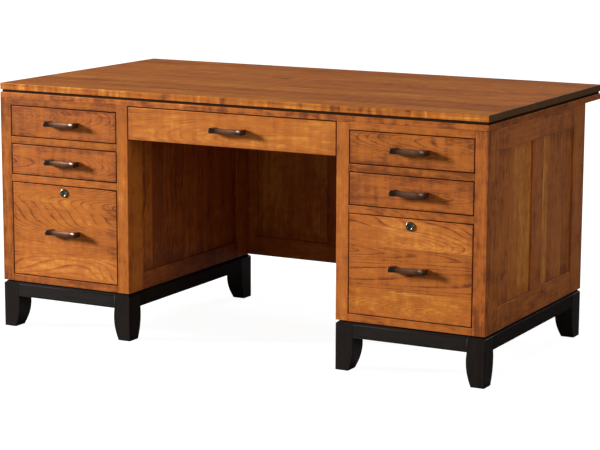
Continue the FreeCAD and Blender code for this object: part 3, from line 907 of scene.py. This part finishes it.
TURNED_STEPS = 56
plug_radius = 0.007
plug_chamfer = 0.0007
plug_face_depth = 0.0012
plug_rim_depth = 0.0020
keyway_half_width = 0.0009
keyway_half_height = 0.004
keyway_lip_depth = 0.0014
keyway_depth = 0.005
keyway_ray_turn = 0.003
plug_gap = 0.00005
flange_thickness = 0.004
body_radius = 0.009
cam_thickness = 0.003
cam_half_width = 0.006
cam_ease = 0.0004
plate_relief = 0.00002
# Steps of a rounded edge, as distances in from it and depths: the bore's lip, then the flange's rim.
LIP_STEPS = ((0.0, 0.0024), (0.0002, 0.0009), (0.0007, 0.0003))
RIM_STEPS = ((0.0030, 0.0), (0.0016, 0.0003), (0.0006, 0.0011), (0.0, 0.0024))


def turned(centre, profile, round_rows):
    """A ring turned about the Y axis: each point of the profile, a radius and a depth, makes one circle."""
    angle = np.linspace(0, 2 * math.pi, TURNED_STEPS, endpoint=False)
    radius, deep = np.array(profile).T
    rows = np.stack([
        centre[0] + radius[:, None] * np.cos(angle),
        np.broadcast_to(centre[1] + deep[:, None], (len(radius), TURNED_STEPS)),
        centre[2] + radius[:, None] * np.sin(angle),
    ], 2)
    return board(rows, 1, round_rows, np.ones(TURNED_STEPS, bool), ring=True)


def nickel_plate(name, dark, pale, roughness):
    """Nickel plating: bright, with faint clouds and fine rubbing marks."""
    f = Finish(name)
    grain = f.read("grain")
    cloud = f.noise(f.scaled(grain, (260.0, 260.0, 260.0)), detail=3.0, roughness=0.6)
    rub = f.noise(f.scaled(grain, (900.0, 4000.0, 900.0)), detail=2.0, roughness=0.6)
    colour = f.blend(f.between(cloud + rub * 0.5, -0.3, 0.3), (*dark, 1), (*pale, 1))
    gloss = roughness + cloud * 0.12 + rub * 0.1
    normal = f.relief(rub, plate_relief)
    return f.done(Base_Color=colour, Metallic=1.0, Roughness=gloss, Normal=normal)


def keyed_plug(centre, length):
    """The plug: rings that start on the slot's floor, climb its wall, and spread over the face to the rim.

    The slot's ring holds the point where each ray from the middle meets its rectangle. The rays go to its
    corners and to even steps of angle, turned a little so that none lies on an axis.
    """
    corner = math.atan2(keyway_half_height, keyway_half_width)
    corners = np.array([corner, math.pi - corner, math.pi + corner, 2 * math.pi - corner])
    even = np.linspace(0, 2 * math.pi, TURNED_STEPS, endpoint=False)
    angle = np.sort(np.append(even + keyway_ray_turn, corners))
    ray = np.stack([np.cos(angle), np.sin(angle)], 1)
    with_slot = np.minimum(keyway_half_width / np.abs(ray[:, 0]), keyway_half_height / np.abs(ray[:, 1]))
    slot = with_slot[:, None] * ray
    rings = [slot, slot, ray * (plug_radius - plug_chamfer), ray * plug_radius, ray * plug_radius]
    deep = np.array([keyway_depth, keyway_lip_depth, plug_face_depth, plug_rim_depth, length])
    flat = np.array(rings) + (centre[0], centre[2])
    rows = np.concatenate([flat, np.broadcast_to(centre[1] + deep[:, None, None], flat.shape[:2] + (1,))], 2)
    return board(turned_to(rows, [0, 2, 1]), 1, [False, False, True, True], np.zeros(len(angle), bool))


nickel = nickel_plate("nickel", (0.10, 0.092, 0.066), (0.24, 0.22, 0.165), 0.24)
dull_nickel = nickel_plate("dull_nickel", (0.05, 0.05, 0.042), (0.14, 0.135, 0.11), 0.3)
for side in SIDES:
    low, high = corners_of(side + "_file_lock_housing")
    centre = ((low[0] + high[0]) / 2, low[1], (low[2] + high[2]) / 2)
    flange = (high[0] - low[0]) / 2
    length = high[1] - low[1]
    bore = plug_radius + plug_gap
    profile = [(bore + inset, deep) for inset, deep in LIP_STEPS]
    profile += [(flange - inset, deep) for inset, deep in RIM_STEPS]
    profile += [(flange, flange_thickness), (body_radius, flange_thickness)]
    profile += [(body_radius, length), (bore, length)]
    round_rows = [True, True, False, True, True, True] + [False] * 5
    housing = turned(centre, profile, round_rows)
    lock = side + "_file_lock"
    fit(side + "_nickel_lock", [housing], nickel, side + "_file_drawer", lock + "_housing")
    low, high = corners_of(lock + "_plug")
    cam_front = high[1] - cam_thickness
    cam_low = (low[0], cam_front, centre[2] - cam_half_width)
    cam = plank(cam_low, (high[0], high[1], centre[2] + cam_half_width), 0, ease=cam_ease)
    plug = keyed_plug(centre, cam_front - centre[1])
    fit(side + "_key_plug", [plug, cam], dull_nickel, lock, lock + "_plug")

# Studio. A pale floor with a round backdrop of the same paint that glows a little more, one large soft
# light low on the left as in the photograph, two weak lights on the right and behind, and a dim white
# room all round.

FLOOR_HALF = 40.0
BACKDROP_STEPS = 96
backdrop_height = 30.0
floor_glow = 0.95
backdrop_glow = 1.0
paint_dark = (0.21, 0.21, 0.21, 1)
paint_pale = (0.24, 0.24, 0.24, 1)
room_strength = 0.12
WHITE = (1, 1, 1, 1)
aim = np.array((0.0, -0.3, 0.45))
key_way = np.array((-2.4, -1.0, 0.74))
key_distance = 14.0


def pale_paint(name, glow):
    """Matt white paint with faint clouds, which glows like a lit backdrop."""
    f = Finish(name)
    place = f.node("TexCoord", {}, {}, "Object")
    cloud = f.noise(f.scaled(place, (0.7, 0.7, 0.7)), detail=3.0)
    colour = f.blend(cloud + 0.5, paint_dark, paint_pale)
    return f.done(Base_Color=colour, Roughness=0.9, Emission_Color=WHITE, Emission_Strength=glow)


def area_light(name, place, size, power):
    """A round lamp, tipped about X and then turned about Z until it faces the aim."""
    lamp = bpy.data.lights.new(name, "AREA")
    lamp.shape = "DISK"
    lamp.size = size
    lamp.energy = power
    lamp_object = bpy.data.objects.new(name, lamp)
    back = np.asarray(place, float) - aim
    rotation = Matrix.Rotation(math.atan2(back[1], back[0]) + math.pi / 2, 4, "Z")
    rotation = rotation @ Matrix.Rotation(math.atan2(np.hypot(back[0], back[1]), back[2]), 4, "X")
    lamp_object.matrix_world = Matrix.Translation(place) @ rotation
    bpy.context.scene.collection.objects.link(lamp_object)


def set_piece(name, points, faces, paint):
    """A piece of the set, whose glow reaches only the floor."""
    mesh = bpy.data.meshes.new(name)
    mesh.from_pydata(points.tolist(), [], faces.tolist())
    mesh.materials.append(paint)
    piece = bpy.data.objects.new(name, mesh)
    bpy.context.scene.collection.objects.link(piece)
    piece.light_linking.receiver_collection = floor_only
    return piece


floor_only = bpy.data.collections.new("floor_only")
floor_paint = pale_paint("pale_floor", floor_glow)
backdrop_paint = pale_paint("pale_backdrop", backdrop_glow)
square = np.array([(-1, -1, 0), (1, -1, 0), (1, 1, 0), (-1, 1, 0)]) * FLOOR_HALF
floor_only.objects.link(set_piece("floor", square, np.arange(4)[None], floor_paint))
angle = np.linspace(0, 2 * math.pi, BACKDROP_STEPS, endpoint=False)
foot = np.stack([np.cos(angle), np.sin(angle), np.zeros(BACKDROP_STEPS)], 1) * FLOOR_HALF
here = np.arange(BACKDROP_STEPS)
after = np.roll(here, -1)
wall = np.stack([after, here, here + BACKDROP_STEPS, after + BACKDROP_STEPS], 1)
backdrop = set_piece("backdrop", np.append(foot, foot + (0, 0, backdrop_height), 0), wall, backdrop_paint)
for light_path in ("diffuse", "glossy", "transmission", "volume_scatter", "shadow"):
    setattr(backdrop, "visible_" + light_path, False)
key_place = aim + key_way / np.linalg.norm(key_way) * key_distance
area_light("key_light", place=key_place, size=3.0, power=4800.0)
area_light("side_light", place=(7.5, -3.0, 2.6), size=5.0, power=188.0)
area_light("back_light", place=(1.2, 8.5, 5.0), size=3.0, power=190.0)
world = bpy.data.worlds.new("studio")
world.use_nodes = True
background = world.node_tree.nodes["Background"]
background.inputs["Color"].default_value = WHITE
background.inputs["Strength"].default_value = room_strength
bpy.context.scene.world = world
bpy.context.scene.view_settings.view_transform = "Standard"

# Camera. It stands to the right of the desk and a little above it, far off with a long lens, as the
# photograph's perspective shows.

FRAME_WIDTH = 600.0
SENSOR_WIDTH = 36.0
focal_pixels = 2038.48
camera_place = (3.02404, -5.68006, 1.49508)
camera_yaw = math.radians(27.986)
camera_pitch = math.radians(10.238)
camera_roll = math.radians(0.241)
camera_data = bpy.data.cameras.new("camera")
camera_data.sensor_width = SENSOR_WIDTH
camera_data.lens = SENSOR_WIDTH * focal_pixels / FRAME_WIDTH
camera = bpy.data.objects.new("camera", camera_data)
turn = Matrix.Rotation(camera_yaw, 4, "Z") @ Matrix.Rotation(math.pi / 2 - camera_pitch, 4, "X")
camera.matrix_world = Matrix.Translation(camera_place) @ turn @ Matrix.Rotation(camera_roll, 4, "Z")
bpy.context.scene.collection.objects.link(camera)
bpy.context.scene.camera = camera
